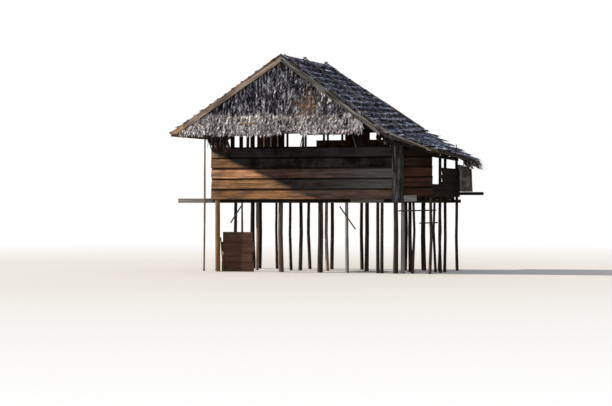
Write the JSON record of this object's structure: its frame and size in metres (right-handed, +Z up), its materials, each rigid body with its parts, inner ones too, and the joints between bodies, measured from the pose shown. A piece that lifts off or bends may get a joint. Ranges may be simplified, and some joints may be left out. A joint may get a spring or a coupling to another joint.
{
  "type": "stilt house",
  "caption": "Thatched timber stilt house with a hanging leaf gable, lapped plank walls, open upper band, left landing and a low lean-to on the right.",
  "frame": {"origin": "on the ground, at the centre of the front left corner post's foot", "axes": "+X to the right along the front wall, +Y from the front wall to the back wall, +Z up"},
  "size_m": [7.35, 3.755, 5.3709],
  "materials": {
    "old_timber": "weathered",
    "grey_timber": "weathered grey",
    "stilt_wood": "rough, barked",
    "red_timber": "weathered red-brown",
    "tan_timber": "sun-bleached",
    "pole_wood": "peeled pole",
    "dark_timber": "sooty, shaded",
    "roof_thatch": "dry leaf, blue-grey",
    "gable_leaf": "dry leaf, grey",
    "bark": "grey bark"
  },
  "bodies": {
    "root": {"back_infill": "old_timber", "back_stilts": "stilt_wood", "back_studs": "dark_timber", "back_wall": "old_timber", "bark_sheet": "bark", "braces": "pole_wood", "corner_board": "grey_timber", "corner_posts": "red_timber", "eave_prop": "pole_wood", "floor_bearers": "dark_timber", "floor_deck": "old_timber", "floor_joists": "dark_timber", "front_stilts": "stilt_wood", "front_studs": "dark_timber", "front_wall": "old_timber", "gable_rails": "pole_wood", "gable_skirts": "gable_leaf", "gable_thatch": "gable_leaf", "holding_poles": "pole_wood", "king_posts": "dark_timber", "landing_planks": "grey_timber", "leanto_back_wall": "red_timber", "leanto_battens": "pole_wood", "leanto_deck": "old_timber", "leanto_front_wall": "red_timber", "leanto_plate": "dark_timber", "leanto_posts": "stilt_wood", "leanto_rafters": "dark_timber", "leanto_rails": "pole_wood", "leanto_side_wall": "dark_timber", "leanto_stilts": "stilt_wood", "leanto_thatch": "roof_thatch", "left_barge_boards": "tan_timber", "left_battens": "pole_wood", "left_rafters": "dark_timber", "left_studs": "dark_timber", "left_thatch": "roof_thatch", "left_wall": "old_timber", "middle_stilts": "stilt_wood", "ridge_cap": "roof_thatch", "ridge_pole": "pole_wood", "right_barge_boards": "grey_timber", "right_battens": "pole_wood", "right_rafters": "dark_timber", "right_thatch": "roof_thatch", "side_plates": "dark_timber", "sill_pole": "pole_wood", "tie_beams": "dark_timber", "underfloor_screen": "old_timber"}
  },
  "joints": []
}
